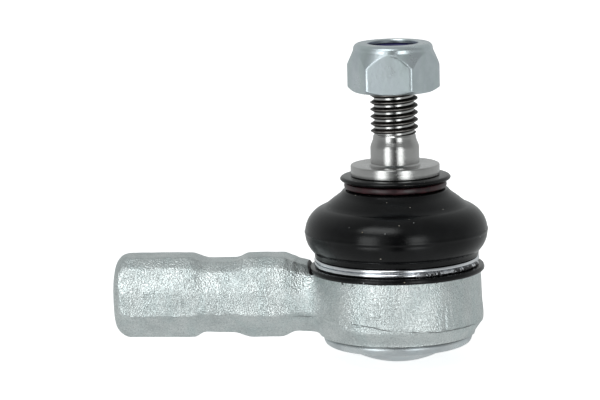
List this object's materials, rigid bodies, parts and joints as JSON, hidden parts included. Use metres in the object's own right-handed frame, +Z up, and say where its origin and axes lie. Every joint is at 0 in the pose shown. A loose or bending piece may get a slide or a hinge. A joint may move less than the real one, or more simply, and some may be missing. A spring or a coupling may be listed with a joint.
{
  "type": "tie rod end",
  "caption": "Steering tie rod end: a ball stud with a lock nut tilts and turns in a forged housing with a threaded shank, sealed by a rubber boot.",
  "frame": {"origin": "centre of the ball stud's seating face, where the steering arm rests on the flange", "axes": "+Z up the ball stud, -X along the threaded shank and out of its end, Y across"},
  "size_m": [0.0785, 0.0384, 0.067],
  "materials": {
    "forged_zinc": "shot-blasted forging with bright zinc plating",
    "cap_steel": "pressed steel, zinc plated",
    "turned_steel": "turned and polished steel",
    "nut_zinc": "smooth bright zinc plating",
    "nylon": "dark blue nylon",
    "boot_rubber": "black moulded rubber, semi-matt",
    "neck_ring_rubber": "dark red-brown elastic ring",
    "spring_wire": "bright spring wire",
    "spring_steel": "dark oiled spring steel",
    "acetal": "natural acetal, greased"
  },
  "bodies": {
    "housing": {"housing": "forged_zinc", "closing_cap": "cap_steel", "preload_spring": "spring_steel", "lower_bearing_shell": "acetal", "upper_bearing_shell": "acetal", "lower_boot_ring": "spring_wire"},
    "boot_base": {"dust_boot": "boot_rubber"},
    "boot_neck": {"upper_boot_ring": "neck_ring_rubber"},
    "stud": {"ball_stud": "turned_steel"},
    "nut_ring": {"nut_insert": "nylon"},
    "nut": {"lock_nut": "nut_zinc"}
  },
  "joints": [
    {"name": "stud_heading", "type": "hinge", "parent": "housing", "child": "boot_base", "pos_m": [0, 0, -0.0275], "axis": [0, 0, 1], "continuous": true},
    {"name": "stud_tilt", "type": "hinge", "parent": "boot_base", "child": "boot_neck", "pos_m": [0, 0, -0.0275], "axis": [0, 1, 0], "range_deg": [-25, 25], "deforming": ["dust_boot"]},
    {"name": "stud_spin", "type": "hinge", "parent": "boot_neck", "child": "stud", "pos_m": [0, 0, -0.0275], "axis": [0, 0, 1], "continuous": true},
    {"name": "nut_travel", "type": "slide", "parent": "stud", "child": "nut_ring", "axis": [0, 0, 1], "range_m": [-0.0073, 0.0202]},
    {"name": "nut_turn", "type": "hinge", "parent": "nut_ring", "child": "nut", "pos_m": [0, 0, 0.0204], "axis": [0, 0, 1], "continuous": true}
  ],
  "couplings": [
    {"joint": "nut_turn", "follows": "nut_travel", "rad_per_m": 4188.8}
  ]
}
